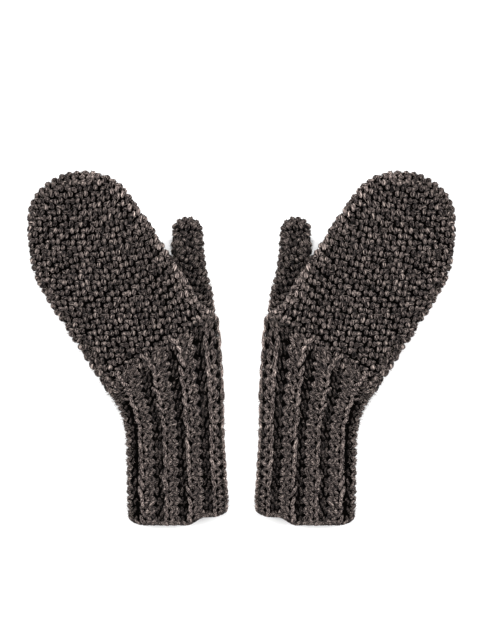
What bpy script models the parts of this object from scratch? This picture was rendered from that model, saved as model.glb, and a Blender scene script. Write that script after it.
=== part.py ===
"""A pair of crocheted mittens lying flat side by side, palms down, mirror images about X = 0.

Each mitten is a hand tube, a thumb tube and a ribbed cuff tube. Metres, +Z up, the table at Z = 0,
fingertips towards +Y. The sizes below are in millimetres.
"""

import math

import bmesh
import bpy
import numpy as np

MM = 0.001

# Cloth
WALL = 3.0                  # single crochet in a medium wool yarn
THUMB_WALL = 2.6
SEAM_GAP = 0.3              # between two pieces at their seam

# Hand: a straight tube that leans outwards, with a rounded closed tip
HAND_LEAN = 33.0            # degrees from +Y
WRIST_X = -54.1             # middle of the seam between hand and cuff
WRIST_Y = -1.3
HAND_LENGTH = 133.0         # from that seam to the tip
HAND_HALF = 42.3
HAND_CENTRE = -1.9          # across the lean, from the middle of the seam
HAND_THICK = 7.6            # both panels and the narrow space between them
HAND_FULLNESS = 0.8         # how far the middle of the upper panel swells
SWELL_FROM_WRIST = 15.0     # it swells over this length, and sinks again before the tip
SWELL_TO_TIP = 20.0
TIP_START = 70.0            # the tube narrows from here
TIP_POWER = 2.2             # superellipse of the tip's outline
TIP_FOLD = 5.0              # length over which the panels close on each other
TIP_SKEW = 4.3              # the tip is fuller on its thumb side
TIP_SKEW_AT = 114.0
TIP_SKEW_REACH = 22.0
WRIST_FLARE = 1.9           # the thumb side is wider at the seam
WRIST_FLARE_REACH = 5.0

# Thumb: a tube that starts under the hand's inner edge
THUMB_PATH = [              # middle of the thumb, from its root to its tip
    {"x": -26.9, "y": 20.3},
    {"x": -29.8, "y": 35.3},
    {"x": -34.3, "y": 54.8},
    {"x": -35.6, "y": 68.0},
    {"x": -35.5, "y": 87.1},
]
THUMB_HALF = 10.75
THUMB_THICK = 6.4
THUMB_TIP = 11.5            # length of the rounded tip
THUMB_ROOT_TURN = 8.0       # degrees: the root is cut along the wrist seam
THUMB_ROOT_SHARE = 0.25     # share of the thumb over which its rows turn back
THUMB_TIP_FLAT = 1.25       # the tip stays full until it is this much narrower

# Hand and cuff rise over the thumb's root
LIFT_GAP = 0.4
LIFT_SIDE = 10.0            # width of the slope beside the thumb
LIFT_ROOT = 5.5             # width of the slope below its root
LIFT_HOLD = 0.2             # share of those widths that is still at full height

# Cuff: a ribbed tube, one row of the table for each section from the hem up
CUFF_ROWS = [
    {"outer_x": -75.2, "outer_y": -116.8, "inner_x": -8.3, "inner_y": -116.8},
    {"outer_x": -75.9, "outer_y": -103.6, "inner_x": -8.3, "inner_y": -102.3},
    {"outer_x": -76.2, "outer_y": -83.8, "inner_x": -9.4, "inner_y": -83.8},
    {"outer_x": -76.6, "outer_y": -64.0, "inner_x": -10.6, "inner_y": -64.0},
    {"outer_x": -77.2, "outer_y": -54.1, "inner_x": -10.9, "inner_y": -47.5},
    {"outer_x": -80.5, "outer_y": -42.9, "inner_x": -11.4, "inner_y": -27.7},
    {"outer_x": -85.1, "outer_y": -34.3, "inner_x": -12.5, "inner_y": -5.9},
]
CUFF_TOP = [                # the last sections turn into the wrist seam
    {"below": 7.0, "turn": 2.8},
    {"below": 2.5, "turn": 1.0},
    {"below": 0.0, "turn": 0.0},
]
CUFF_THICK = 8.0
HEM_STEP = 5.3              # the hem is shorter on the thumb side
HEM_STEP_FROM = 0.15        # across the cuff, from -1 at the outer edge to 1
HEM_STEP_TO = 0.55
HEM_CORNER = 5.5            # how far the hem turns up at its two folds
HEM_CORNER_POWER = 8
HEM_REACH = 25.0            # the ribs take up the hem's shape over this length

# Ribs, raised on the cuff's upper panel
RIB_RELIEF = 1.8
RIB_COUNT = 4
RIB_FIRST = 0.105           # first valley, as a share of the cuff's width
RIB_PITCH = 0.236           # one rib, as a share of the cuff's width
RIB_PROFILE = [             # across one rib, from valley to valley
    {"share": 0.00, "height": 0.0},
    {"share": 0.12, "height": 0.75},
    {"share": 0.24, "height": 1.0},
    {"share": 0.45, "height": 0.62},
    {"share": 0.82, "height": 0.66},
]
RIB_OUTER_FOLD = [0.0, 0.04, 0.085]     # the half rib at the outer fold

# Mesh: faces round each folded edge, and places across the panels as shares of their half width
SIDE_STEPS = 4
HAND_PLACES = [1.0, 0.91, 0.81, 0.71, 0.61, 0.51, 0.41, 0.3, 0.15, -0.05, -0.3, -0.55, -0.8, -1.0]
CUFF_UNDER_PLACES = [-1.0, -0.7, -0.4, -0.1, 0.2, 0.5, 0.7, 0.85, 1.0]
THUMB_PLACES = [1.0, 0.75, 0.5, 0.25, 0.0, -0.25, -0.5, -0.75, -1.0]
# Sections of the hand, in millimetres above the seam, and of the thumb, as shares of its length
HAND_STATIONS = [0.0, 2.2, 4.6, 7.5, 11.0, 16.0, 23.0, 31.0, 40.0, 50.0, 70.0, 86.0, 97.0, 106.0,
                 114.0, 120.5, 125.5, 129.0, 131.2, 132.6]
THUMB_STATIONS = [0.0, 0.12, 0.26, 0.42, 0.58, 0.74, 0.83, 0.90, 0.95, 0.98, 0.996]

# Wool, from the photographed colour
WOOL_COLOUR = (0.056, 0.046, 0.043, 1.0)
WOOL_ROUGHNESS = 0.95


def clear_scene():
    for old in list(bpy.data.objects):
        bpy.data.objects.remove(old, do_unlink=True)


def smooth(x):
    """0 below 0, 1 above 1, with an even slope between."""
    x = min(max(x, 0.0), 1.0)
    return x * x * (3.0 - 2.0 * x)


def turned(vector, degrees):
    a = math.radians(degrees)
    c = math.cos(a)
    s = math.sin(a)
    return np.array([vector[0] * c - vector[1] * s, vector[0] * s + vector[1] * c])


WRIST = np.array([WRIST_X, WRIST_Y])
HAND_UP = turned((0.0, 1.0), HAND_LEAN)
HAND_ACROSS = turned((1.0, 0.0), HAND_LEAN)


def curve_point(points, t):
    """A point of the smooth curve through the given points, t from 0 to 1 along them."""
    last = len(points) - 1
    place = min(max(t, 0.0), 1.0) * last
    i = min(int(place), last - 1)
    f = place - i
    p1 = points[i]
    p2 = points[i + 1]
    p0 = points[i - 1] if i > 0 else 2 * p1 - p2
    p3 = points[i + 2] if i + 2 <= last else 2 * p2 - p1
    return 0.5 * (2 * p1 + (p2 - p0) * f + (2 * p0 - 5 * p1 + 4 * p2 - p3) * f ** 2
                  + (3 * p1 - p0 - 3 * p2 + p3) * f ** 3)


def thumb_row(t):
    """Centre, direction across and half width of the thumb, t from 0 at its root to 1."""
    path = [np.array([row["x"], row["y"]]) for row in THUMB_PATH]
    step = 0.01
    centre = curve_point(path, t)
    along = curve_point(path, min(t + step, 1.0)) - curve_point(path, max(t - step, 0.0))
    along /= np.linalg.norm(along)
    across = turned(along, -90.0)
    across = turned(across, THUMB_ROOT_TURN * (1.0 - smooth(t / THUMB_ROOT_SHARE)))
    left = float(np.linalg.norm(path[-1] - centre))
    rounding = 1.0 if left > THUMB_TIP else math.sqrt(max(0.0, 1.0 - (1.0 - left / THUMB_TIP) ** 2))
    return centre, across, THUMB_HALF * rounding


def thumb_outline(samples=24):
    """The thumb's outline seen from above."""
    rows = [thumb_row(i / samples) for i in range(samples + 1)]
    inner = [centre + across * half for centre, across, half in rows]
    outer = [centre - across * half for centre, across, half in rows]
    return inner + outer[::-1]


THUMB_OUTLINE = thumb_outline()
THUMB_ROOT = thumb_row(0.0)


def lift(x, y):
    """How far the cloth is raised at a point by the thumb beneath it."""
    point = np.array([x, y])
    root_centre, root_across, _ = THUMB_ROOT
    root_up = turned(root_across, 90.0)
    inside = False
    nearest = 1e9
    count = len(THUMB_OUTLINE)
    for i in range(count):
        a = THUMB_OUTLINE[i]
        b = THUMB_OUTLINE[(i + 1) % count]
        if (a[1] > y) != (b[1] > y) and x < (b[0] - a[0]) * (y - a[1]) / (b[1] - a[1]) + a[0]:
            inside = not inside
        edge = b - a
        f = min(max(float(np.dot(point - a, edge)) / max(float(np.dot(edge, edge)), 1e-9), 0.0), 1.0)
        away = point - (a + edge * f)
        below = max(0.0, -float(np.dot(point - root_centre, root_up)))
        beside = math.sqrt(max(0.0, float(np.dot(away, away)) - below ** 2))
        nearest = min(nearest, math.hypot(beside / LIFT_SIDE, below / LIFT_ROOT))
    share = 1.0 if inside else smooth(1.0 + LIFT_HOLD - nearest)
    return (THUMB_THICK + LIFT_GAP) * share


def side_points(flat, radius, middle, start):
    """Points round one folded edge, without its two ends; start is 90 or 270 degrees."""
    side = -1.0 if start == 90.0 else 1.0
    points = []
    for i in range(1, SIDE_STEPS):
        a = math.radians(start + 180.0 * i / SIDE_STEPS)
        points.append((side * flat + radius * math.cos(a), middle + radius * math.sin(a)))
    return points


def section(half, thick, inset, top, under, relief):
    """Closed outline of a flat tube as (across, height), over its top from the inner edge."""
    depth = max(thick - 2.0 * inset, 0.2)
    radius = depth / 2.0
    reach = max(half - inset, radius + 0.2)
    flat = reach - radius
    points = [(flat * k, inset + depth + relief(flat * k / half)) for k in top]
    points += side_points(flat, radius, inset + radius, 90.0)
    points += [(flat * k, inset) for k in under]
    points += side_points(flat, radius, inset + radius, 270.0)
    return points


def plain_relief(fullness):
    return lambda u: fullness * max(0.0, 1.0 - u * u)


def rib_height(u):
    """Height of the ribs at u, from -1 at the cuff's outer edge to 1 at its inner edge."""
    place = ((u + 1.0) / 2.0 - RIB_FIRST) / RIB_PITCH
    phase = place - math.floor(place)
    shares = [row["share"] for row in RIB_PROFILE] + [1.0]
    heights = [row["height"] for row in RIB_PROFILE] + [0.0]
    return RIB_RELIEF * float(np.interp(phase, shares, heights))


def rib_positions():
    """Points across the cuff's upper panel, as shares of its flat half width, inner edge first."""
    shares = list(RIB_OUTER_FOLD)
    for i in range(RIB_COUNT):
        shares += [RIB_FIRST + RIB_PITCH * (i + row["share"]) for row in RIB_PROFILE]
    half = (CUFF_ROWS[2]["inner_x"] - CUFF_ROWS[2]["outer_x"]) / 2.0
    flat_share = (half - CUFF_THICK / 2.0) / half
    places = [(2.0 * share - 1.0) / flat_share for share in shares]
    places = [k for k in places if -0.99 < k < 0.99]
    return [1.0] + places[::-1] + [-1.0]


def hand_rows(inset):
    """Sections of the hand from the wrist to the tip, moved in by the inset."""
    top = HAND_PLACES
    under = HAND_PLACES[::-1]
    rows = []
    for along in HAND_STATIONS:
        q = SEAM_GAP / 2.0 + along * (1.0 - SEAM_GAP / 2.0 / HAND_LENGTH)
        if inset and q > HAND_LENGTH - inset - TIP_FOLD / 2.0:
            break
        narrow = max(0.0, (q - TIP_START) / (HAND_LENGTH - TIP_START))
        half = HAND_HALF * max(0.0, 1.0 - narrow ** TIP_POWER) ** (1.0 / TIP_POWER)
        flare = WRIST_FLARE * math.exp(-(q / WRIST_FLARE_REACH) ** 2)
        skew = TIP_SKEW * math.exp(-((q - TIP_SKEW_AT) / TIP_SKEW_REACH) ** 2)
        fold = max(0.0, (q - (HAND_LENGTH - TIP_FOLD)) / TIP_FOLD)
        thick = HAND_THICK * math.sqrt(max(0.0, 1.0 - fold ** 2))
        swell = HAND_FULLNESS * smooth(q / SWELL_FROM_WRIST)
        swell *= smooth((HAND_LENGTH - q) / SWELL_TO_TIP)
        points = section(half + flare, thick, inset, top, under, plain_relief(swell))
        centre = WRIST + HAND_ACROSS * (HAND_CENTRE + flare + skew) + HAND_UP * q
        row = []
        for across, z in points:
            x, y = centre + HAND_ACROSS * across
            row.append((x, y, z + lift(x, y)))
        rows.append(row)
    return rows


def thumb_rows(inset):
    top = THUMB_PLACES
    under = THUMB_PLACES[::-1]
    rows = []
    for t in THUMB_STATIONS:
        centre, across_way, half = thumb_row(t)
        if inset and half < inset + THUMB_THICK / 2.0:
            break
        thick = THUMB_THICK * min(1.0, half / THUMB_HALF * THUMB_TIP_FLAT)
        points = section(half, thick, inset, top, under, plain_relief(0.0))
        rows.append([(*(centre + across_way * across), z) for across, z in points])
    return rows


def cuff_sections():
    """The two ends of each section, from the hem to the wrist seam."""
    ends = []
    for row in CUFF_ROWS:
        outer = np.array([row["outer_x"], row["outer_y"]])
        inner = np.array([row["inner_x"], row["inner_y"]])
        ends.append((outer, inner))
    middle = HAND_CENTRE + WRIST_FLARE
    reach = HAND_HALF + WRIST_FLARE
    for row in CUFF_TOP:
        seam = WRIST + HAND_ACROSS * middle - HAND_UP * (row["below"] + SEAM_GAP / 2.0)
        lean = turned(HAND_ACROSS, row["turn"])
        ends.append((seam - lean * reach, seam + lean * reach))
    return ends


def cuff_rows(inset):
    top = rib_positions()
    under = CUFF_UNDER_PLACES
    hem_y = CUFF_ROWS[0]["outer_y"]
    rows = []
    for outer, inner in cuff_sections():
        centre = (outer + inner) / 2.0
        half = float(np.linalg.norm(inner - outer)) / 2.0
        way = (inner - outer) / (2.0 * half)
        relief = plain_relief(0.0) if inset else rib_height
        row = []
        for across, z in section(half, CUFF_THICK, inset, top, under, relief):
            x, y = centre + way * across
            u = min(max(across / half, -1.0), 1.0)
            step = smooth((u - HEM_STEP_FROM) / (HEM_STEP_TO - HEM_STEP_FROM))
            rise = HEM_STEP * step + HEM_CORNER * abs(u) ** HEM_CORNER_POWER
            near_hem = 1.0 - smooth((y - hem_y) / HEM_REACH)
            row.append((x, y + rise * near_hem, z + lift(x, y)))
        rows.append(row)
    return rows


def join_rings(mesh, first, second):
    count = len(first)
    for i in range(count):
        j = (i + 1) % count
        mesh.faces.new((first[i], first[j], second[j], second[i]))


def tube(name, outer_rows, inner_rows, closed_tip, side, material, collection):
    """One hollow piece: an outer and an inner skin, joined at the open ends."""
    mesh = bmesh.new()

    def skin(rows):
        return [[mesh.verts.new((side * x * MM, y * MM, z * MM)) for x, y, z in row] for row in rows]

    outer = skin(outer_rows)
    inner = skin(inner_rows)
    for rings in (outer, inner):
        for first, second in zip(rings, rings[1:]):
            join_rings(mesh, first, second)
    join_rings(mesh, outer[0], inner[0])
    if closed_tip:
        mesh.faces.new(outer[-1])
        mesh.faces.new(inner[-1])
    else:
        join_rings(mesh, outer[-1], inner[-1])
    bmesh.ops.triangulate(mesh, faces=[f for f in mesh.faces if len(f.verts) > 4])
    bmesh.ops.recalc_face_normals(mesh, faces=mesh.faces)
    data = bpy.data.meshes.new(name)
    mesh.to_mesh(data)
    mesh.free()
    data.shade_smooth()
    data.set_sharp_from_angle(angle=math.radians(50.0))
    data.materials.append(material)
    piece = bpy.data.objects.new(name, data)
    collection.objects.link(piece)
    return piece


def wool(name):
    material = bpy.data.materials.new(name)
    material.use_nodes = True
    shader = material.node_tree.nodes["Principled BSDF"]
    shader.inputs["Base Color"].default_value = WOOL_COLOUR
    shader.inputs["Roughness"].default_value = WOOL_ROUGHNESS
    shader.inputs["Metallic"].default_value = 0.0
    return material


def mitten(word, side, collection):
    """side is 1 for the mitten on the left of the pair and -1 for its mirror image."""
    hand = (hand_rows(0.0), hand_rows(WALL))
    thumb = (thumb_rows(0.0), thumb_rows(THUMB_WALL))
    cuff = (cuff_rows(0.0), cuff_rows(WALL))
    tube("hand_" + word, *hand, True, side, wool("hand_" + word), collection)
    tube("thumb_" + word, *thumb, True, side, wool("thumb_" + word), collection)
    tube("cuff_" + word, *cuff, False, side, wool("cuff_" + word), collection)


def main():
    clear_scene()
    collection = bpy.data.collections.new("pair_of_mittens")
    bpy.context.scene.collection.children.link(collection)
    mitten("left", 1.0, collection)
    mitten("right", -1.0, collection)


main()
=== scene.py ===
# A pair of crocheted wool mittens lying flat, palms down, with stitches laid strand by strand.
# Lengths are millimetres until a mesh is made. The left mitten is drawn, the right one is its mirror image.

import math

import bpy
import numpy as np
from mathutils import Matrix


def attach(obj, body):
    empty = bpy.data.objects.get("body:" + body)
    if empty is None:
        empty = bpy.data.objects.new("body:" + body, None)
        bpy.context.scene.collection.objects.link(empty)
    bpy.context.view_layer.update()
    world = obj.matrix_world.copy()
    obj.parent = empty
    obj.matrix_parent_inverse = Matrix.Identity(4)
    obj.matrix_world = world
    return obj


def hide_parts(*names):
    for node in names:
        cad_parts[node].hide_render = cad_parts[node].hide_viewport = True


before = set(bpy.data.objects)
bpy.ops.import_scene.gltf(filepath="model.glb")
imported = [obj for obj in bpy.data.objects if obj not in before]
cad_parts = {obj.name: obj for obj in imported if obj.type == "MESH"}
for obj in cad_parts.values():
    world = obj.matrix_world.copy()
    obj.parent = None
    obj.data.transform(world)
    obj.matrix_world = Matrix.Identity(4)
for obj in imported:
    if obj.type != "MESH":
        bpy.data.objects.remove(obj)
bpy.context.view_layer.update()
mm = 0.001
seed = 7

# The yarn lies with its middle this deep under the solids' outer skin
yarn = {"radius": 1.5, "depth": 1.5}

# No two strands lie alike. Each strays along s, along q and outwards, and in size and turn, times the
# looseness of its piece. It also differs in tone, and its flecks start anywhere along this much yarn
stray = {"lay": (1.0, 1.0, 0.6, 0.25, 0.45), "tone": 0.09, "flecks": 400.0}

# What keeps surfaces from closing up: the nearest they come to the end of a tip, and the least flat part
# of a section, height over the floor and bend of a fold
least = {"tip": 0.03, "flat": 0.05, "height": 0.05, "bend": 0.3}


def smooth(x):
    x = np.clip(x, 0.0, 1.0)
    return x * x * (3.0 - 2.0 * x)


def turned(vector, degrees):
    a = math.radians(degrees)
    return np.array([vector[0] * math.cos(a) - vector[1] * math.sin(a),
                     vector[0] * math.sin(a) + vector[1] * math.cos(a)])


# A smooth curve through the points, in so many steps
def through(points, steps):
    points = np.array(points, float)
    padded = np.vstack([2 * points[0] - points[1], points, 2 * points[-1] - points[-2]])
    place = np.linspace(0.0, len(points) - 1, steps + 1)
    i = np.minimum(place.astype(int), len(points) - 2)
    f = (place - i)[:, None]
    p0, p1, p2, p3 = padded[i], padded[i + 1], padded[i + 2], padded[i + 3]
    return 0.5 * (2 * p1 + (p2 - p0) * f + (2 * p0 - 5 * p1 + 4 * p2 - p3) * f ** 2
                  + (3 * p1 - p0 - 3 * p2 + p3) * f ** 3)


def walked(points):
    return np.concatenate([[0.0], np.cumsum(np.linalg.norm(np.diff(points, axis=0), axis=1))])


def directions(points):
    along = np.gradient(points, axis=0)
    return along / np.linalg.norm(along, axis=1)[:, None]


# Both coordinates of a line at a way along it
def lineAt(way, walk, points):
    return np.interp(way, walk, points[:, 0]), np.interp(way, walk, points[:, 1])


# Walks round a flat tube: s runs from the middle of the upper panel towards the thumb side, over the
# fold and back under. Gives the place across, the height, and how far the cloth faces up
def roundTube(s, depth, flat, thick, flatWalk):
    bend = np.maximum(thick / 2 - yarn["depth"], least["bend"])
    arc = math.pi * bend
    side = np.where(s < 0, -1.0, 1.0)
    way = np.abs(s)
    angle = np.clip((way - flatWalk) / bend, 0.0, math.pi)
    beyond = np.where(way < flatWalk + arc, flatWalk, 2 * flatWalk + arc - way)
    panel = np.where(way < flatWalk, way, beyond)
    radius = thick / 2 - depth
    across = side * (panel * flat / flatWalk + radius * np.sin(angle))
    return across, thick / 2 + radius * np.cos(angle), np.maximum(np.cos(angle), 0.0)


def lengthRound(flat, thick):
    return 4 * flat + 2 * math.pi * np.maximum(thick / 2 - yarn["depth"], least["bend"])


# Thumb: a tube along a curve, its tip rounded. "skins" are the depths of the cloth behind the stitches,
# which is drawn in rings at the stations, its inner skin only as far as innerEnd
thumbForm = {
    "path": [(-26.9, 20.3), (-29.8, 35.3), (-34.3, 54.8), (-35.6, 68.0), (-35.5, 87.1)], "steps": 240,
    "half": 10.75, "thick": 6.4, "tip": 11.5, "rootTurn": 8.0, "rootShare": 0.25, "tipFlat": 1.25,
    "skins": (2.0, 2.6), "innerEnd": 64.0,
    "stations": [0.2] + [5.0 * k for k in range(1, 12)] + [58.5, 61.0, 63.0, 64.8, 66.2],
}


def thumbTable():
    f = thumbForm
    centre = through(f["path"], f["steps"])
    along = directions(centre)
    share = np.linspace(0.0, 1.0, f["steps"] + 1)
    turn = np.radians(f["rootTurn"] * (1.0 - smooth(share / f["rootShare"])) - 90.0)
    across = np.stack([along[:, 0] * np.cos(turn) - along[:, 1] * np.sin(turn),
                       along[:, 0] * np.sin(turn) + along[:, 1] * np.cos(turn)], axis=1)
    left = np.linalg.norm(centre[-1] - centre, axis=1)
    rounding = np.sqrt(np.clip(1.0 - np.clip(1.0 - left / f["tip"], 0.0, 1.0) ** 2, 0.0, 1.0))
    return {"walk": walked(centre), "centre": centre, "across": across, "half": f["half"] * rounding}


thumb = thumbTable()
thumbLength = thumb["walk"][-1]


def thumbSection(q):
    q = np.clip(q, 0.0, thumbLength - least["tip"])
    half = np.interp(q, thumb["walk"], thumb["half"])
    thick = thumbForm["thick"] * np.minimum(1.0, half / thumbForm["half"] * thumbForm["tipFlat"])
    return half, thick, np.maximum(half - thick / 2, least["flat"])


def thumbRound(q):
    _, thick, flat = thumbSection(q)
    return float(lengthRound(flat, thick))


def thumbPlace(across, q, z):
    q = np.clip(q, 0.0, thumbLength)
    x, y = lineAt(q, thumb["walk"], thumb["centre"])
    wayX, wayY = lineAt(q, thumb["walk"], thumb["across"])
    return np.stack([x + across * wayX, y + across * wayY, np.maximum(z, least["height"])], axis=-1)


def thumbSurface(s, q, depth):
    _, thick, flat = thumbSection(q)
    across, z, _ = roundTube(s, depth, flat, thick, flat)
    return thumbPlace(across, q, z)


# Hand and cuff rise over the thumb's root. "side" and "root" are how far the rise reaches beside the
# thumb and below its root, and every so many points of the thumb's edges make its outline
liftForm = {"gap": 0.4, "side": 10.0, "root": 5.5, "hold": 0.2, "grid": 0.5, "every": 10,
            "x": (-62.0, 8.0), "y": (2.0, 104.0)}


def liftTable():
    inner = thumb["centre"] + thumb["across"] * thumb["half"][:, None]
    outer = thumb["centre"] - thumb["across"] * thumb["half"][:, None]
    outline = np.vstack([inner[::liftForm["every"]], outer[::-liftForm["every"]]])
    rootUp = turned(thumb["across"][0], 90.0)
    xs = np.arange(liftForm["x"][0], liftForm["x"][1], liftForm["grid"])
    ys = np.arange(liftForm["y"][0], liftForm["y"][1], liftForm["grid"])
    x, y = np.meshgrid(xs, ys, indexing="ij")
    point = np.stack([x, y], axis=-1)
    below = np.maximum(0.0, -(point - thumb["centre"][0]) @ rootUp)
    inside = np.zeros(x.shape, bool)
    nearest = np.full(x.shape, 1e9)
    for i in range(len(outline)):
        a = outline[i]
        b = outline[(i + 1) % len(outline)]
        edge = b - a
        rise = edge[1] if abs(edge[1]) > 1e-9 else 1e-9
        crossed = ((a[1] > y) != (b[1] > y)) & (x < edge[0] * (y - a[1]) / rise + a[0])
        inside ^= crossed
        f = np.clip((point - a) @ edge / max(edge @ edge, 1e-9), 0.0, 1.0)
        away = point - (a + edge * f[..., None])
        beside = np.sqrt(np.maximum(0.0, (away ** 2).sum(axis=-1) - below ** 2))
        nearest = np.minimum(nearest, np.hypot(beside / liftForm["side"], below / liftForm["root"]))
    share = np.where(inside, 1.0, smooth(1.0 + liftForm["hold"] - nearest))
    return (thumbForm["thick"] + liftForm["gap"]) * share


liftGrid = liftTable()


def lift(x, y):
    u = np.clip((x - liftForm["x"][0]) / liftForm["grid"], 0.0, liftGrid.shape[0] - 1.001)
    v = np.clip((y - liftForm["y"][0]) / liftForm["grid"], 0.0, liftGrid.shape[1] - 1.001)
    i = u.astype(int)
    j = v.astype(int)
    u = u - i
    v = v - j
    return ((1 - u) * (1 - v) * liftGrid[i, j] + u * (1 - v) * liftGrid[i + 1, j]
            + (1 - u) * v * liftGrid[i, j + 1] + u * v * liftGrid[i + 1, j + 1])


# Hand: a straight tube that leans outwards, with a rounded closed tip. Its q runs from the wrist
handForm = {
    "lean": 33.0, "wrist": (-54.1, -1.3), "length": 133.0, "half": 42.3, "centre": -1.9, "thick": 7.6,
    "fullness": 0.8, "swellFromWrist": 15.0, "swellToTip": 20.0, "tipStart": 70.0, "tipPower": 2.2,
    "tipFold": 5.0, "tipSkew": 4.3, "tipSkewAt": 114.0, "tipSkewReach": 22.0,
    "wristFlare": 1.9, "wristFlareReach": 5.0, "wristRise": 1.1, "wristRiseReach": 9.0,
    "skins": (2.1, 3.0), "innerEnd": 127.0,
    "stations": [0.2, 4.0, 9.0, 15.0, 22.0, 30.0, 38.0, 46.0, 54.0, 62.0, 70.0, 78.0, 86.0, 94.0, 101.0,
                 107.0, 112.0, 116.5, 120.5, 124.0, 127.0, 129.5, 131.0],
}
handUp = turned((0.0, 1.0), handForm["lean"])
handAcross = turned((1.0, 0.0), handForm["lean"])
wrist = np.array(handForm["wrist"])


def handSection(q):
    f = handForm
    q = np.clip(q, 0.0, f["length"] - least["tip"])
    narrow = np.clip((q - f["tipStart"]) / (f["length"] - f["tipStart"]), 0.0, 1.0)
    half = f["half"] * (1.0 - narrow ** f["tipPower"]) ** (1.0 / f["tipPower"])
    flare = f["wristFlare"] * np.exp(-(q / f["wristFlareReach"]) ** 2)
    skew = f["tipSkew"] * np.exp(-((q - f["tipSkewAt"]) / f["tipSkewReach"]) ** 2)
    fold = np.clip((q - (f["length"] - f["tipFold"])) / f["tipFold"], 0.0, 1.0)
    thick = np.minimum(f["thick"] * np.sqrt(1.0 - fold ** 2), 2 * half)
    swell = f["fullness"] * smooth(q / f["swellFromWrist"]) * smooth((f["length"] - q) / f["swellToTip"])
    flat = np.maximum(half + flare - thick / 2, least["flat"])
    return {"half": half + flare, "thick": thick, "flat": flat, "middle": f["centre"] + flare + skew,
            "swell": swell}


def handRound(q):
    at = handSection(q)
    return float(lengthRound(at["flat"], at["thick"]))


def handPlace(across, q, z):
    x = wrist[0] + handAcross[0] * across + handUp[0] * q
    y = wrist[1] + handAcross[1] * across + handUp[1] * q
    return np.stack([x, y, np.maximum(z + lift(x, y), least["height"])], axis=-1)


def handSurface(s, q, depth):
    at = handSection(q)
    across, z, up = roundTube(s, depth, at["flat"], at["thick"], at["flat"])
    swell = at["swell"] + handForm["wristRise"] * (1.0 - smooth(q / handForm["wristRiseReach"]))
    z = z + swell * up * np.clip(1.0 - (across / at["half"]) ** 2, 0.0, 1.0)
    return handPlace(at["middle"] + across, q, z)


# Cuff: a ribbed tube between a straight hem and the slanted wrist seam. Its rows are x and y of the outer
# and of the inner end, from the hem up, and walks round it are counted as on one of them. Above them come
# the rows of its top, each so far below the seam and turned so many degrees from it
cuffForm = {
    "rows": [(-75.2, -116.8, -8.3, -116.8), (-75.9, -103.6, -8.3, -102.3), (-76.2, -83.8, -9.4, -83.8),
             (-76.6, -64.0, -10.6, -64.0), (-77.2, -54.1, -10.9, -47.5), (-80.5, -42.9, -11.4, -27.7),
             (-85.1, -34.3, -12.5, -5.9)],
    "walkRow": 2, "top": [(7.0, 2.8), (2.5, 1.0), (0.0, 0.0)],
    "thick": 8.0, "hemStep": 5.3, "hemStepFrom": 0.15, "hemStepTo": 0.55, "hemCorner": 5.5,
    "hemCornerPower": 8, "hemReach": 25.0, "seamGap": 0.3,
    "ribRelief": 1.8, "ribFirst": 0.105, "ribPitch": 0.236, "ribFade": 0.6, "ribFadeReach": 12.0,
    "ribShares": (0.0, 0.12, 0.24, 0.45, 0.82, 1.0), "ribHeights": (0.0, 0.75, 1.0, 0.62, 0.66, 0.0),
    "skins": (2.5, 3.2), "hemMargin": 0.3, "seamMargin": 0.2, "stations": 26,
}


def cuffTable():
    ends = [((ox, oy), (ix, iy)) for ox, oy, ix, iy in cuffForm["rows"]]
    middle = handForm["centre"] + handForm["wristFlare"]
    reach = handForm["half"] + handForm["wristFlare"]
    for below, turn in cuffForm["top"]:
        seam = wrist + handAcross * middle - handUp * (below + cuffForm["seamGap"] / 2)
        lean = turned(handAcross, turn)
        ends.append((seam - lean * reach, seam + lean * reach))
    outer = np.array([e[0] for e in ends])
    inner = np.array([e[1] for e in ends])
    return {"outer": outer, "inner": inner, "walk": walked((outer + inner) / 2)}


cuff = cuffTable()
cuffLength = cuff["walk"][-1]
walkRow = cuffForm["rows"][cuffForm["walkRow"]]
cuffFlat = (walkRow[2] - walkRow[0]) / 2 - cuffForm["thick"] / 2
cuffRound = float(lengthRound(cuffFlat, cuffForm["thick"]))


def ribHeight(u):
    place = ((u + 1.0) / 2.0 - cuffForm["ribFirst"]) / cuffForm["ribPitch"]
    phase = place - np.floor(place)
    return cuffForm["ribRelief"] * np.interp(phase, cuffForm["ribShares"], cuffForm["ribHeights"])


def cuffSurface(s, t, depth):
    beyond = np.maximum(t - cuffLength, 0.0)
    t = np.clip(t, 0.0, cuffLength)
    outerX, outerY = lineAt(t, cuff["walk"], cuff["outer"])
    innerX, innerY = lineAt(t, cuff["walk"], cuff["inner"])
    half = np.hypot(innerX - outerX, innerY - outerY) / 2
    wayX = (innerX - outerX) / (2 * half)
    wayY = (innerY - outerY) / (2 * half)
    across, z, up = roundTube(s, depth, half - cuffForm["thick"] / 2, cuffForm["thick"], cuffFlat)
    u = np.clip(across / half, -1.0, 1.0)
    reach = cuffForm["ribFadeReach"]
    fade = 1.0 - cuffForm["ribFade"] * smooth((t - cuffLength + reach) / reach)
    z = z + fade * ribHeight(u) * up * (np.abs(s) < cuffFlat)
    x = (outerX + innerX) / 2 + wayX * across + handUp[0] * beyond
    y = (outerY + innerY) / 2 + wayY * across + handUp[1] * beyond
    step = smooth((u - cuffForm["hemStepFrom"]) / (cuffForm["hemStepTo"] - cuffForm["hemStepFrom"]))
    rise = cuffForm["hemStep"] * step + cuffForm["hemCorner"] * np.abs(u) ** cuffForm["hemCornerPower"]
    hemY = cuffForm["rows"][0][1]
    y = y + rise * (1.0 - smooth((y - hemY) / cuffForm["hemReach"]))
    return np.stack([x, y, np.maximum(z + lift(x, y), least["height"])], axis=-1)


print("surfaces ready")


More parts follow.
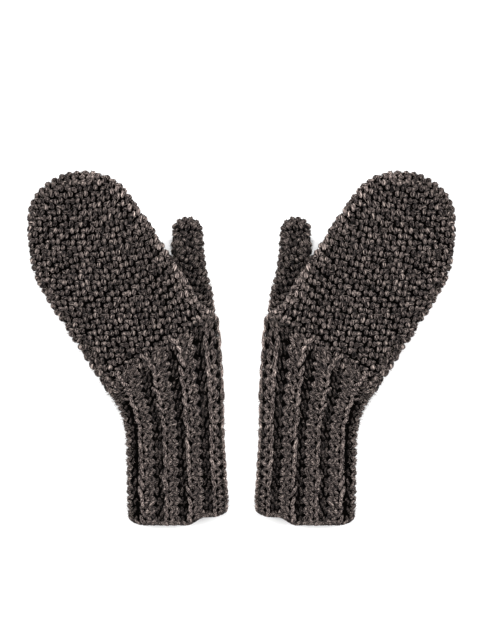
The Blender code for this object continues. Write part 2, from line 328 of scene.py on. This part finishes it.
# Makes a mesh of quads, mirrored where side is -1. The first two uv columns run along and round the yarn,
# the other two are the tone of a strand and whether it is a loose hair
def meshFrom(name, places, quads, uvs, side):
    places = places * mm * np.array([side, 1.0, 1.0])
    if side < 0:
        quads = quads[:, ::-1]
        uvs = uvs.reshape(len(quads), 4, -1)[:, ::-1].reshape(quads.size, -1)
    data = bpy.data.meshes.new(name)
    data.vertices.add(len(places))
    data.vertices.foreach_set("co", places.astype(np.float32).ravel())
    data.loops.add(quads.size)
    data.loops.foreach_set("vertex_index", quads.astype(np.int32).ravel())
    data.polygons.add(len(quads))
    data.polygons.foreach_set("loop_start", np.arange(0, quads.size, 4, dtype=np.int32))
    data.polygons.foreach_set("use_smooth", np.ones(len(quads), bool))
    for k, layerName in enumerate(("yarn", "tone")[:uvs.shape[1] // 2]):
        layer = data.uv_layers.new(name=layerName)
        layer.data.foreach_set("uv", uvs[:, 2 * k:2 * k + 2].astype(np.float32).ravel())
    data.update(calc_edges=True)
    data.validate()
    piece = bpy.data.objects.new(name, data)
    bpy.context.scene.collection.objects.link(piece)
    return piece


# A round strand along a curve of (across, up, out), in the flat space of one stitch, closed at both ends
def strand(points, radii, steps, sides=6):
    centre = through(points, steps)
    radius = np.interp(np.linspace(0, 1, steps + 1), np.linspace(0, 1, len(radii)), radii)
    along = directions(centre)
    flat = np.cross(along, (0.0, 0.0, 1.0))
    flat /= np.linalg.norm(flat, axis=1)[:, None]
    out = np.cross(flat, along)
    angle = np.arange(sides) * 2 * math.pi / sides
    flat = np.cos(angle)[None, :, None] * flat[:, None, :]
    out = np.sin(angle)[None, :, None] * out[:, None, :]
    ring = centre[:, None, :] + radius[:, None, None] * (flat + out)
    length = walked(centre)
    quads = []
    uvs = []
    for k in range(steps):
        for j in range(sides):
            m = (j + 1) % sides
            quads.append((k * sides + j, (k + 1) * sides + j, (k + 1) * sides + m, k * sides + m))
            uvs += [(length[k], j / sides), (length[k + 1], j / sides),
                    (length[k + 1], (j + 1) / sides), (length[k], (j + 1) / sides)]
    end = steps * sides
    for k in range(1, sides - 2, 2):
        quads += [(0, k, k + 1, k + 2), (end, end + k + 2, end + k + 1, end + k)]
        uvs += [(0.0, 0.0)] * 4 + [(length[-1], 0.0)] * 4
    return ring.reshape(-1, 3), np.array(quads), np.array(uvs)


# Lays a strand at every site (s, q, widthScale, heightScale, tone) of a surface
def lay(surface, template, sites, rng, loose, hair=0.0):
    points, quads, uvs = template
    sites = np.asarray(sites, float)
    count = len(sites)
    jitter = rng.normal(size=(count, 5)) * np.array(stray["lay"]) * loose
    size = 1 + jitter[:, 3:4]
    turn = jitter[:, 4:5]
    a = points[None, :, 0] * size
    b = points[None, :, 1] * size
    across = (a * np.cos(turn) - b * np.sin(turn)) * sites[:, 2:3] + sites[:, 0:1] + jitter[:, 0:1]
    up = (a * np.sin(turn) + b * np.cos(turn)) * sites[:, 3:4] + sites[:, 1:2] + jitter[:, 1:2]
    out = points[None, :, 2] + jitter[:, 2:3]
    places = surface(across, up, yarn["depth"] - out)
    shift = (np.arange(count) * len(points))[:, None, None]
    drift = rng.uniform(0.0, stray["flecks"], size=(count, 1, 2)) * np.array([1.0, 0.0])
    tone = sites[:, 4] * np.exp(rng.normal(size=count) * stray["tone"])
    marks = np.stack([tone, np.full(count, hair)], axis=1)
    marks = np.broadcast_to(marks[:, None, :], (count, len(uvs), 2))
    return (places.reshape(-1, 3), (quads[None] + shift).reshape(-1, 4),
            np.concatenate([uvs[None] + drift, marks], axis=2).reshape(-1, 4))


# Loose hairs that stand off the yarn, so many to a stitch on a panel and at a fold, and none underneath.
# They are drawn about six times as thick as real wool fibres of 0.03 mm, so that they show
fuzz = {
    "radius": 0.09, "radii": (1.0, 1.0, 0.6), "steps": 2, "sides": 4, "loose": 1.3,
    "onPanel": 2, "onFold": 16,
    "paths": [[(-0.6, 0.0, -1.4), (0.1, 0.5, 0.7), (0.9, 0.6, 1.8)],
              [(0.5, 0.2, -1.4), (-0.3, -0.5, 0.6), (-1.3, -0.4, 1.6)],
              [(0.0, -0.6, -1.4), (0.4, 0.3, 0.8), (-0.2, 1.3, 1.7)]],
}


# The fold lies between the two reaches from the edge
def hairs(surface, sites, rng, edge, reaches):
    sites = np.array(sites, float)
    sites[:, 2:4] = 1.0
    way = np.abs(sites[:, 0])
    panel = sites[way < edge + reaches[0]]
    fold = sites[(way >= edge + reaches[0]) & (way < edge + reaches[1])]
    radii = [fuzz["radius"] * k for k in fuzz["radii"]]
    parts = []
    for group, times in ((panel, fuzz["onPanel"]), (fold, fuzz["onFold"])):
        if len(group) == 0:
            continue
        for k in range(times):
            hair = strand(fuzz["paths"][k % len(fuzz["paths"])], radii, fuzz["steps"], fuzz["sides"])
            parts.append(lay(surface, hair, group, rng, fuzz["loose"], 1.0))
    return parts


def join(parts):
    places = []
    quads = []
    uvs = []
    start = 0
    for p, q, u in parts:
        places.append(p)
        quads.append(q + start)
        uvs.append(u)
        start += len(p)
    return np.vstack(places), np.vstack(quads), np.vstack(uvs)


# Two skins of cloth behind the stitches, joined at the open ends
def backing(surface, walkRound, skins, stations, innerEnd, closed):
    around = 64
    share = np.arange(around) / around - 0.5
    places = []
    counts = []
    for depth, last in zip(skins, (stations[-1], innerEnd)):
        rows = [q for q in stations if q < last] + [last]
        for q in rows:
            places.append(surface(share * walkRound(q), np.full(around, q), depth))
        counts.append(len(rows))
    quads = []

    def ringJoin(a, b):
        for j in range(around):
            m = (j + 1) % around
            quads.append((a * around + j, a * around + m, b * around + m, b * around + j))

    for k in range(counts[0] - 1):
        ringJoin(k, k + 1)
    for k in range(counts[1] - 1):
        ringJoin(counts[0] + k + 1, counts[0] + k)
    ringJoin(counts[0], 0)
    total = counts[0] + counts[1]
    if closed:
        # the last ring of each skin is flat, and closed from one panel across to the other
        for ring, flip in ((counts[0] - 1, False), (total - 1, True)):
            for j in range(around // 2 - 1):
                a = ring * around
                quad = (a + j, a + j + 1, a + around - 2 - j, a + around - 1 - j)
                quads.append(quad[::-1] if flip else quad)
    else:
        ringJoin(counts[0] - 1, total - 1)
    places = np.vstack(places)
    quads = np.array(quads)
    uvs = places[quads.ravel()][:, :2]
    return places, quads, uvs


# Single crochet of the hand, worked in rounds. Each stitch leaves two short legs and a bar beside them,
# and every round steps sideways, so that rows show along the rounds and level across the photo.
# The rim is the edge of the tip, where stitches lie along it instead, in three rows
handStitch = {
    "width": 7.4, "height": 5.5, "lean": 0.255, "first": -2.4, "ringsTo": 119.5, "fewest": 4,
    "loose": 0.22, "tone": 1.05, "bow": 0.0026, "bowFrom": 30.0, "bowTo": 95.0, "bowFade": 35.0,
    "left": [(-2.2, -1.1, -1.9), (-1.85, 0.0, 0.4), (-1.45, 0.7, 0.4), (-1.1, 1.7, -1.9)],
    "right": [(1.0, -2.1, -1.9), (1.35, -1.1, 0.4), (1.75, -0.4, 0.4), (2.1, 0.6, -1.9)],
    "radii": [0.7, 1.06, 1.06, 0.7], "steps": 8,
    "bar": [(1.9, 2.6, -2.0), (3.0, 2.1, -0.2), (4.3, 1.5, -0.2), (5.4, 1.0, -2.0)],
    "barRadii": [0.6, 0.88, 0.88, 0.6], "barSteps": 6, "yarnBetween": 150.0,
    "foldGrow": 0.25, "foldReach": 4.0, "foldHairs": (-8.0, 1.0),
    # The fold on the thumb side and the start of the rim beside it are painted paler: painted light, as if
    # lit from that side
    "paintedLightFold": 0.95, "paintedLightAt": 0.5, "paintedLightReach": 5.0, "paintedLightRim": 12.0, "lastInset": 9.0,
    "rimRows": (-4.9, 0.0, 4.9), "rimStep": 0.3, "rimWidth": 0.76, "rimThick": 1.0,
    "rimHairs": (-1.0, 5.0), "rimRuns": [(119.5, 131.0, 60), (131.1, 132.97, 40)],
}


def bowed(r, across):
    f = handStitch
    ease = smooth(r / f["bowFrom"]) * (1.0 - smooth((r - f["bowTo"]) / f["bowFade"]))
    return r + f["bow"] * ease * across ** 2


def handRows(s, r, depth):
    at = handSection(r)
    across, _, _ = roundTube(s, depth, at["flat"], at["thick"], at["flat"])
    return handSurface(s, bowed(r, across), depth)


# How near a place is to either fold of a tube, from 0 to 1
def nearFold(form, way, length):
    return math.exp(-((way - length / 4) / form["foldReach"]) ** 2)


def ringSites(form, walkRound, tone):
    sites = []
    rows = int((form["ringsTo"] - form["first"]) / form["height"]) + 1
    for i in range(rows):
        r = form["first"] + i * form["height"]
        length = walkRound(r)
        count = max(form["fewest"], round(length / form["width"]))
        gap = length / count
        for j in range(count):
            s = (j - form["lean"] * i) * gap
            s = (s + length / 2) % length - length / 2
            grow = 1.0 + form["foldGrow"] * nearFold(form, abs(s), length)
            sites.append((s, r, gap / form["width"], grow, tone(s, r)))
    return sites, form["first"] + rows * form["height"]


def template(form):
    radii = [yarn["radius"] * k for k in form["radii"]]
    legs = [strand(form[leg], radii, form["steps"]) for leg in ("left", "right")]
    bar = strand(form["bar"], [yarn["radius"] * k for k in form["barRadii"]], form["barSteps"])
    # further along the yarn on each one, so that their flecks differ
    parts = legs + [bar]
    return join([(p, q, u + (form["yarnBetween"] * k, 0.0)) for k, (p, q, u) in enumerate(parts)])


# The edge of a tip as (across, q), up its thumb side and down the other
def tipOutline(q, middle, half):
    up = np.stack([middle + half, q], axis=1)
    down = np.stack([middle - half, q], axis=1)
    return np.vstack([up, down[::-1]])


# Runs along the rounded edge of a tip: s goes over the edge onto the upper panel, q along the edge
def rimSurface(outline, thick, place):
    walk = walked(outline)
    along = directions(outline)
    inward = np.stack([-along[:, 1], along[:, 0]], axis=1)
    middle = outline + inward * thick / 2
    bend = thick / 2 - yarn["depth"]

    def surface(s, q, depth):
        angle = np.clip(s / bend, -math.pi / 2, math.pi / 2)
        beyond = np.abs(s) - bend * math.pi / 2
        radius = thick / 2 - depth
        inwards = np.maximum(beyond, 0.0) - radius * np.cos(angle)
        z = thick / 2 + radius * np.sin(angle)
        q = np.clip(q, 0.0, walk[-1])
        across, up = lineAt(q, walk, middle)
        inX, inY = lineAt(q, walk, inward)
        return place(across + inwards * inX, up + inwards * inY, z)

    return surface, walk[-1]


def rimStitches(form, outline, thick, place, pattern, rng, tone):
    surface, length = rimSurface(outline, thick * form["rimThick"], place)
    count = round(length / form["height"])
    gap = length / count
    sites = []
    for k in range(count):
        for row, s in enumerate(form["rimRows"]):
            r = (k + 0.5 + form["rimStep"] * row) * gap
            sites.append((s, r, form["rimWidth"], gap / form["height"], tone(r)))
    laid = lay(surface, pattern, sites, rng, form["loose"])
    return [laid] + hairs(surface, sites, rng, 0.0, form["rimHairs"])


# Beyond the last round a row goes across each panel only
def handPanelSites(r):
    form = handStitch
    reach = float(handSection(r)["half"]) - form["lastInset"]
    count = max(1, round(2 * reach / form["width"]))
    gap = 2 * reach / count
    under = handRound(r) / 2
    sites = []
    for j in range(count):
        s = -reach + (j + 0.5) * gap
        beneath = under - s if s > 0 else -under - s
        for place in (s, beneath):
            sites.append((place, r, gap / form["width"], 1.0, form["tone"]))
    return sites


# The fold on the thumb side is the palest part of the hand: painted light, as if lit from that side
def paintedLightTone(way):
    return handStitch["tone"] * (1.0 + handStitch["paintedLightFold"] * math.exp(-way ** 2))


def handTone(s, q):
    flat = float(handSection(q)["flat"])
    return paintedLightTone((s - flat - handStitch["paintedLightAt"]) / handStitch["paintedLightReach"])


def rimTone(r):
    return paintedLightTone(r / handStitch["paintedLightRim"])


def makeHand(word, side):
    rng = np.random.default_rng(seed)
    pattern = template(handStitch)
    sites, nextRow = ringSites(handStitch, handRound, handTone)
    parts = [lay(handRows, pattern, sites, rng, handStitch["loose"])]
    parts.append(lay(handRows, pattern, handPanelSites(nextRow), rng, handStitch["loose"]))
    parts += hairs(handRows, sites, rng, handForm["half"], handStitch["foldHairs"])
    q = np.concatenate([np.linspace(*run) for run in handStitch["rimRuns"]])
    at = handSection(q)
    outline = tipOutline(q, at["middle"], at["half"])
    parts += rimStitches(handStitch, outline, handForm["thick"], handPlace, pattern, rng, rimTone)
    stitches = meshFrom("handStitches_" + word, *join(parts), side)
    cloth = backing(handSurface, handRound, handForm["skins"], handForm["stations"],
                    handForm["innerEnd"], True)
    return meshFrom("handCloth_" + word, *cloth, side), stitches


# The thumb has the same stitch in smaller rounds, and one row along its rim, whose runs are measured from
# the tip. It has a painted shadow beside the hand, is paler at its root on the inner side, and its folds
# are a little paler with painted light
thumbStitch = dict(
    handStitch, width=7.2, height=5.3, first=2.4, lean=0.2, tone=0.7, ringsTo=thumbLength - 5.5,
    foldHairs=(-6.75, 2.25), paintedLightFold=0.3, rimRows=(0.0,), rimWidth=0.85, rimThick=0.92, rimTone=1.0,
    rimRuns=[(4.2, 0.3, 40), (0.28, 0.04, 20)],
    shadow=0.5, shadowAcross=(-9.0, 3.0), shadowAlong=(38.0, 48.0),
    root=1.0, rootAcross=(-3.0, 6.0), rootAlong=(4.0, 20.0),
)


def between(x, ends):
    return float(smooth((x - ends[0]) / (ends[1] - ends[0])))


def thumbTone(s, q):
    f = thumbStitch
    shadow = f["shadow"] * (1.0 - between(s, f["shadowAcross"])) * (1.0 - between(q, f["shadowAlong"]))
    root = f["root"] * between(s, f["rootAcross"]) * (1.0 - between(q, f["rootAlong"]))
    return f["tone"] * (1.0 - shadow + root + f["paintedLightFold"] * nearFold(f, abs(s), thumbRound(q)))


def makeThumb(word, side):
    rng = np.random.default_rng(seed + 1)
    pattern = template(thumbStitch)
    sites, _ = ringSites(thumbStitch, thumbRound, thumbTone)
    parts = [lay(thumbSurface, pattern, sites, rng, thumbStitch["loose"])]
    parts += hairs(thumbSurface, sites, rng, thumbForm["half"], thumbStitch["foldHairs"])
    q = thumbLength - np.concatenate([np.linspace(*run) for run in thumbStitch["rimRuns"]])
    half, _, _ = thumbSection(q)
    outline = tipOutline(q, 0.0, half)
    parts += rimStitches(thumbStitch, outline, thumbForm["thick"], thumbPlace, pattern, rng,
                         lambda r: thumbStitch["rimTone"])
    stitches = meshFrom("thumbStitches_" + word, *join(parts), side)
    cloth = backing(thumbSurface, thumbRound, thumbForm["skins"], thumbForm["stations"],
                    thumbForm["innerEnd"], True)
    return meshFrom("thumbCloth_" + word, *cloth, side), stitches


# The cuff is rows of crochet laid sideways. In every rib one line of loops stands up as a ridge, the
# posts beside it make a bumpy band, and the next row sinks into a valley.
# Columns of loops are (kind, way round, phase): those of each ridge, those between it and the next, those
# beside the two folds, and those of each rib underneath. A phase of 1 is half a loop along
cuffStitch = {
    "period": 6.2, "first": 2.2, "spared": 3.2, "beyondSeam": 1.0, "loose": 0.27, "radius": 1.15,
    "radii": [0.7, 1.0, 1.05, 1.0, 0.7], "steps": 8,
    "ridge": [(-0.9, 3.9, -1.5), (-0.6, 2.0, 0.3), (0.0, -0.2, 0.7), (0.6, -2.2, 0.3), (0.8, -4.0, -1.5)],
    "rise": [(-1.5, -2.1, -1.7), (-0.8, -1.1, 0.1), (0.7, 0.8, 0.2), (1.5, 2.0, -1.7)],
    "fall": [(-1.6, 1.6, -2.0), (-0.8, 0.8, -0.3), (0.8, -0.7, -0.3), (1.6, -1.6, -2.0)],
    "sunk": [(0.5, -3.4, -2.4), (-0.5, -1.2, -1.5), (0.5, 1.2, -1.5), (-0.5, 3.4, -2.4)],
    "bead": [(-1.3, -0.5, -2.0), (-0.5, 0.3, -0.8), (0.6, 0.2, -0.8), (1.4, -0.5, -2.0)],
    "edge": [(0.0, 3.9, -1.4), (0.0, 2.0, 0.1), (0.0, 0.0, 0.4), (0.0, -2.2, 0.1), (0.0, -4.0, -1.4)],
    "filler": [(-1.4, 1.8, -1.9), (-0.7, 0.8, -0.4), (0.8, -0.7, -0.4), (1.4, -1.8, -1.9)],
    "hem": [(-2.9, 0.9, -1.9), (-1.3, 1.2, -0.1), (1.0, 0.3, 0.0), (2.6, -0.7, -1.9)],
    "hemWidth": 4.4, "hemAt": 1.0, "hemSteps": 9, "fillerReach": 24.0,
    # The tones paint light and shade on the loops: painted highlight on the raised ridges and on the edge
    # loops of the inner fold, painted shade on the sunk loops of the valley; beads and fillers are a little
    # darker
    "paintedLightAndShade": {"ridge": 1.6, "rise": 1.08, "fall": 1.0, "sunk": 0.45, "bead": 0.85, "edge": 2.2,
              "filler": 0.9, "hem": 1.0},
    "fuzzy": ("ridge", "rise", "edge"), "foldHairs": (0.0, 6.0),
    "ridges": (-22.9, -7.1, 8.6, 24.4),
    "rib": [("ridge", 0.0, 0.2), ("rise", 3.1, 0.1), ("fall", 3.5, 1.0)],
    "valley": [("bead", 5.1, 0.2), ("bead", 5.3, 1.1), ("rise", 6.8, 0.1), ("fall", 7.1, 1.0),
               ("sunk", 10.4, 0.5), ("sunk", 12.8, 0.0)],
    "besideFolds": [("fall", -31.4, 0.1), ("rise", -31.0, 1.0), ("sunk", -27.4, 0.5),
                    ("rise", -35.0, 0.2), ("fall", -34.6, 1.1),
                    ("sunk", 30.6, 0.4), ("edge", 33.2, 0.1), ("rise", 36.4, 0.2), ("fall", 36.6, 1.1),
                    ("filler", -28.6, 0.3), ("filler", -26.2, 0.8)],
    "underRibs": 4, "underShift": 3.0,
    "underside": [("ridge", -1.5, 0.2), ("rise", 1.6, 0.1), ("fall", 2.0, 1.0), ("bead", 3.6, 0.2),
                  ("bead", 3.8, 1.1), ("rise", 5.3, 0.1), ("fall", 5.6, 1.0), ("sunk", 9.3, 0.5)],
}


def cuffColumns():
    form = cuffStitch
    columns = []
    for ridge in form["ridges"]:
        loops = form["rib"] if ridge == form["ridges"][-1] else form["rib"] + form["valley"]
        columns += [(kind, ridge + place, phase) for kind, place, phase in loops]
    columns += form["besideFolds"]
    under = cuffRound / 2 - cuffFlat
    pitch = 2 * cuffFlat / form["underRibs"]
    for k in range(form["underRibs"]):
        start = under + (k + 0.5) * pitch - form["underShift"]
        for kind, place, phase in form["underside"]:
            s = (start + place + cuffRound / 2) % cuffRound - cuffRound / 2
            columns.append((kind, s, phase))
    return columns


# The fillers are only near the seam, where the valley beside the outer fold is wide
def cuffSites(kind, s, phase):
    form = cuffStitch
    count = round((cuffLength - form["spared"]) / form["period"])
    gap = (cuffLength - form["spared"]) / count
    start = cuffLength - form["fillerReach"] if kind == "filler" else 0.0
    sites = []
    for k in range(count + 1):
        q = form["first"] + (k + phase / 2) * gap
        if start < q < cuffLength + form["beyondSeam"]:
            sites.append((s, q, 1.0, gap / form["period"], form["paintedLightAndShade"][kind]))
    return sites


# The hem is finished by a round of slanted loops
def cuffHem(rng, radii):
    form = cuffStitch
    loop = strand(form["hem"], radii, form["hemSteps"])
    count = round(cuffRound / form["hemWidth"])
    sites = []
    for j in range(count):
        s = (j / count - 0.5) * cuffRound
        sites.append((s, form["hemAt"], cuffRound / count / form["hemWidth"], 1.0, form["paintedLightAndShade"]["hem"]))
    return lay(cuffSurface, loop, sites, rng, form["loose"])


def makeCuff(word, side):
    rng = np.random.default_rng(seed + 2)
    radii = [cuffStitch["radius"] * k for k in cuffStitch["radii"]]
    parts = [cuffHem(rng, radii)]
    for kind, s, phase in cuffColumns():
        pattern = strand(cuffStitch[kind], radii, cuffStitch["steps"])
        sites = cuffSites(kind, s, phase)
        parts.append(lay(cuffSurface, pattern, sites, rng, cuffStitch["loose"]))
        if kind in cuffStitch["fuzzy"]:
            parts += hairs(cuffSurface, sites, rng, cuffFlat, cuffStitch["foldHairs"])
    stitches = meshFrom("cuffStitches_" + word, *join(parts), side)
    last = cuffLength - cuffForm["seamMargin"]
    stations = list(np.linspace(cuffForm["hemMargin"], last, cuffForm["stations"]))
    cloth = backing(cuffSurface, lambda q: cuffRound, cuffForm["skins"], stations, stations[-1], False)
    return meshFrom("cuffCloth_" + word, *cloth, side), stitches


# Wool: three-ply marl yarn, spun from charcoal, brown and beige fleece, so its colour changes in flecks
# that follow the twist, and its dry, hairy surface scatters light without a gloss. The flecks are tufts of
# fibres in millimetres, drawn coarser than the fibres of 0.03 mm, so that they show
woolLook = {
    "shades": [(0.475, "#030202"),     # painted shade of the gaps between fibres
               (0.545, "#0d0a0a"),     # charcoal
               (0.615, "#201b1a"),     # brown
               (0.715, "#6e635f"),     # beige
               (0.835, "#a5978e")],    # the palest tufts
    # The loose hairs' colour is paler than most of the yarn: partly beige fleece, partly painted rim light
    "hairs": "#94877f", "fleckLength": 1.1, "fleckWidth": 0.65, "fleckDetail": 2.0, "fleckRoughness": 0.65,
    "streak": 14.0, "streakShare": 0.22, "plyTwist": 9.0, "plies": 3,
    "roughness": 0.95, "sheen": 0.05, "sheenRoughness": 0.5, "gloss": 0.05,
    "groove": 0.35, "hair": 0.25, "hairScale": (1.2, 5.0, 5.0),
}


def colour(text):
    parts = [int(text[i:i + 2], 16) / 255 for i in (1, 3, 5)]
    linear = [c / 12.92 if c <= 0.04045 else ((c + 0.055) / 1.055) ** 2.4 for c in parts]
    return (*linear, 1.0)


def newMaterial(name, roughness, gloss):
    material = bpy.data.materials.new(name)
    material.use_nodes = True
    shader = material.node_tree.nodes["Principled BSDF"]
    shader.inputs["Roughness"].default_value = roughness
    shader.inputs["Specular IOR Level"].default_value = gloss
    return material, shader


def node(tree, kind, links=None, **settings):
    made = tree.nodes.new(kind)
    for name, value in settings.items():
        setattr(made, name, value)
    for socket, source in (links or {}).items():
        if isinstance(source, bpy.types.NodeSocket):
            tree.links.new(source, made.inputs[socket])
        else:
            made.inputs[socket].default_value = source
    return made


def rampOf(tree, fac, shades):
    ramp = node(tree, "ShaderNodeValToRGB", {"Fac": fac})
    elements = ramp.color_ramp.elements
    for element, (position, text) in zip(elements, (shades[0], shades[-1])):
        element.position = position
        element.color = colour(text)
    for position, text in shades[1:-1]:
        elements.new(position).color = colour(text)
    return ramp.outputs["Color"]


def marlWool():
    look = woolLook
    material, shader = newMaterial("marlWool", look["roughness"], look["gloss"])
    tree = material.node_tree
    uv = node(tree, "ShaderNodeUVMap", uv_map="yarn")
    parts = node(tree, "ShaderNodeSeparateXYZ", {0: uv.outputs["UV"]})
    # the twist turns the pattern once round the yarn every plyTwist millimetres
    turn = node(tree, "ShaderNodeMath", {0: parts.outputs["X"], 1: 1 / look["plyTwist"],
                                         2: parts.outputs["Y"]}, operation="MULTIPLY_ADD")
    angle = node(tree, "ShaderNodeMath", {0: turn.outputs[0], 1: 2 * math.pi}, operation="MULTIPLY")
    side = node(tree, "ShaderNodeMath", {0: angle.outputs[0]}, operation="COSINE")
    top = node(tree, "ShaderNodeMath", {0: angle.outputs[0]}, operation="SINE")
    place = node(tree, "ShaderNodeCombineXYZ", {0: parts.outputs["X"], 1: side.outputs[0],
                                                2: top.outputs[0]})
    wide = yarn["radius"] / look["fleckWidth"]
    finer = (1 / look["fleckLength"], wide, wide)
    fleece = node(tree, "ShaderNodeVectorMath", {0: place.outputs[0], 1: finer}, operation="MULTIPLY")
    flecks = node(tree, "ShaderNodeTexNoise", {"Vector": fleece.outputs[0], "Scale": 1.0,
                                               "Detail": look["fleckDetail"],
                                               "Roughness": look["fleckRoughness"]})
    slow = node(tree, "ShaderNodeTexNoise", {"Vector": place.outputs[0], "Scale": 1 / look["streak"],
                                             "Detail": 1.0})
    blend = node(tree, "ShaderNodeMath", {0: slow.outputs["Fac"], 1: look["streakShare"],
                                          2: flecks.outputs["Fac"]}, operation="MULTIPLY_ADD")
    shade = rampOf(tree, blend.outputs[0], look["shades"])
    # single stitches are paler or darker than their neighbours, at random and by painted light and shade,
    # and loose hairs are pale, partly by painted rim light
    mark = node(tree, "ShaderNodeUVMap", uv_map="tone")
    marks = node(tree, "ShaderNodeSeparateXYZ", {0: mark.outputs["UV"]})
    toned = node(tree, "ShaderNodeVectorMath", {0: shade, "Scale": marks.outputs["X"]}, operation="SCALE")
    dyed = node(tree, "ShaderNodeMix", {"Factor": marks.outputs["Y"], 6: toned.outputs[0],
                                        7: colour(look["hairs"])}, data_type="RGBA")
    tree.links.new(dyed.outputs[2], shader.inputs["Base Color"])
    shader.inputs["Sheen Weight"].default_value = look["sheen"]
    shader.inputs["Sheen Roughness"].default_value = look["sheenRoughness"]
    # grooves between the plies, and fine hairs that lie on them
    half = node(tree, "ShaderNodeMath", {0: angle.outputs[0], 1: look["plies"] / 2}, operation="MULTIPLY")
    groove = node(tree, "ShaderNodeMath", {0: half.outputs[0]}, operation="SINE")
    ply = node(tree, "ShaderNodeMath", {0: groove.outputs[0]}, operation="ABSOLUTE")
    fine = node(tree, "ShaderNodeVectorMath", {0: place.outputs[0], 1: look["hairScale"]},
                operation="MULTIPLY")
    lint = node(tree, "ShaderNodeTexNoise", {"Vector": fine.outputs[0], "Scale": 1.0, "Detail": 2.0})
    height = node(tree, "ShaderNodeMath", {0: lint.outputs["Fac"], 1: look["hair"] / look["groove"],
                                           2: ply.outputs[0]}, operation="MULTIPLY_ADD")
    bump = node(tree, "ShaderNodeBump", {"Height": height.outputs[0], "Strength": 1.0,
                                         "Distance": look["groove"] * mm})
    tree.links.new(bump.outputs["Normal"], shader.inputs["Normal"])
    return material


# The same wool deep between the stitches, painted near black as painted shade, where the loops close up and
# little light comes back. Its scale is per metre, a pattern of about 1.1 mm as on the yarn
paintedShadeLook = {"shades": [(0.35, "#020202"), (0.75, "#0a0807")], "scale": 900.0, "roughness": 0.95}


def paintedShadeWool():
    material, shader = newMaterial("paintedShadeWool", paintedShadeLook["roughness"], 0.0)
    tree = material.node_tree
    place = node(tree, "ShaderNodeTexCoord")
    fibres = node(tree, "ShaderNodeTexNoise", {"Vector": place.outputs["Object"],
                                               "Scale": paintedShadeLook["scale"], "Detail": 3.0})
    tree.links.new(rampOf(tree, fibres.outputs["Fac"], paintedShadeLook["shades"]), shader.inputs["Base Color"])
    return material


marl = marlWool()
deep = paintedShadeWool()
print("materials ready")

# Each tube of each mitten: its cloth and its stitches, fastened to the root body with their materials, and
# the solid part they replace hidden
for word, side in (("left", 1.0), ("right", -1.0)):
    for name, make in (("hand", makeHand), ("thumb", makeThumb), ("cuff", makeCuff)):
        cloth, stitches = make(word, side)
        for piece in (cloth, stitches):
            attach(piece, "root")
        # The cloth behind the stitches gets the near-black painted shade
        cloth.data.materials.append(deep)
        stitches.data.materials.append(marl)
        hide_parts(name + "_" + word)
        print(word, name, len(stitches.data.polygons) * 2, "triangles")


# Floor, light and camera. The camera looks straight down, and the picture's 640 rows are 0.66 mm each.
# The lights are (name, place, size, power)
studio = {
    "cameraHeight": 2.0, "frameHeight": 0.4224, "centre": (-0.001, 0.0185), "sensor": 36.0,
    "floor": 3.0, "paper": "#fcfcfc", "paperRoughness": 0.9, "fill": 0.77,
    "lights": [("topLight", (0.0, 0.95, 1.0), 0.8, 15.6), ("leftLight", (-1.15, 0.1, 0.7), 0.6, 16.6),
               ("rightLight", (1.15, 0.1, 0.7), 0.6, 16.6)],
}
reach = studio["floor"]
floorMesh = bpy.data.meshes.new("floor")
floorMesh.from_pydata([(-reach, -reach, 0), (reach, -reach, 0), (reach, reach, 0), (-reach, reach, 0)],
                      [], [(0, 1, 2, 3)])
floor = bpy.data.objects.new("floor", floorMesh)
bpy.context.scene.collection.objects.link(floor)
# White studio paper, uncoated, so that it is an even bright ground without reflections
paper, paperShader = newMaterial("whitePaper", studio["paperRoughness"], 0.5)
paperShader.inputs["Base Color"].default_value = colour(studio["paper"])
floorMesh.materials.append(paper)

world = bpy.data.worlds.new("studio")
world.use_nodes = True
world.node_tree.nodes["Background"].inputs["Color"].default_value = (1.0, 1.0, 1.0, 1.0)
world.node_tree.nodes["Background"].inputs["Strength"].default_value = studio["fill"]
bpy.context.scene.world = world


# A square light that is turned to the middle of the floor
def softbox(name, place, size, power):
    light = bpy.data.lights.new(name, "AREA")
    light.energy = power
    light.size = size
    made = bpy.data.objects.new(name, light)
    bpy.context.scene.collection.objects.link(made)
    made.location = place
    x, y, z = place
    made.rotation_euler = (math.atan2(math.hypot(x, y), z), 0.0, math.atan2(y, x) + math.pi / 2)


for light in studio["lights"]:
    softbox(*light)

lens = bpy.data.cameras.new("camera")
lens.lens = studio["sensor"] * studio["cameraHeight"] / studio["frameHeight"]
lens.sensor_width = studio["sensor"]
camera = bpy.data.objects.new("camera", lens)
camera.location = (*studio["centre"], studio["cameraHeight"])
bpy.context.scene.collection.objects.link(camera)
bpy.context.scene.camera = camera

# Plain tone mapping, so that the pale floor and the dark wool keep their own values
bpy.context.scene.view_settings.view_transform = "Standard"
print("studio ready")
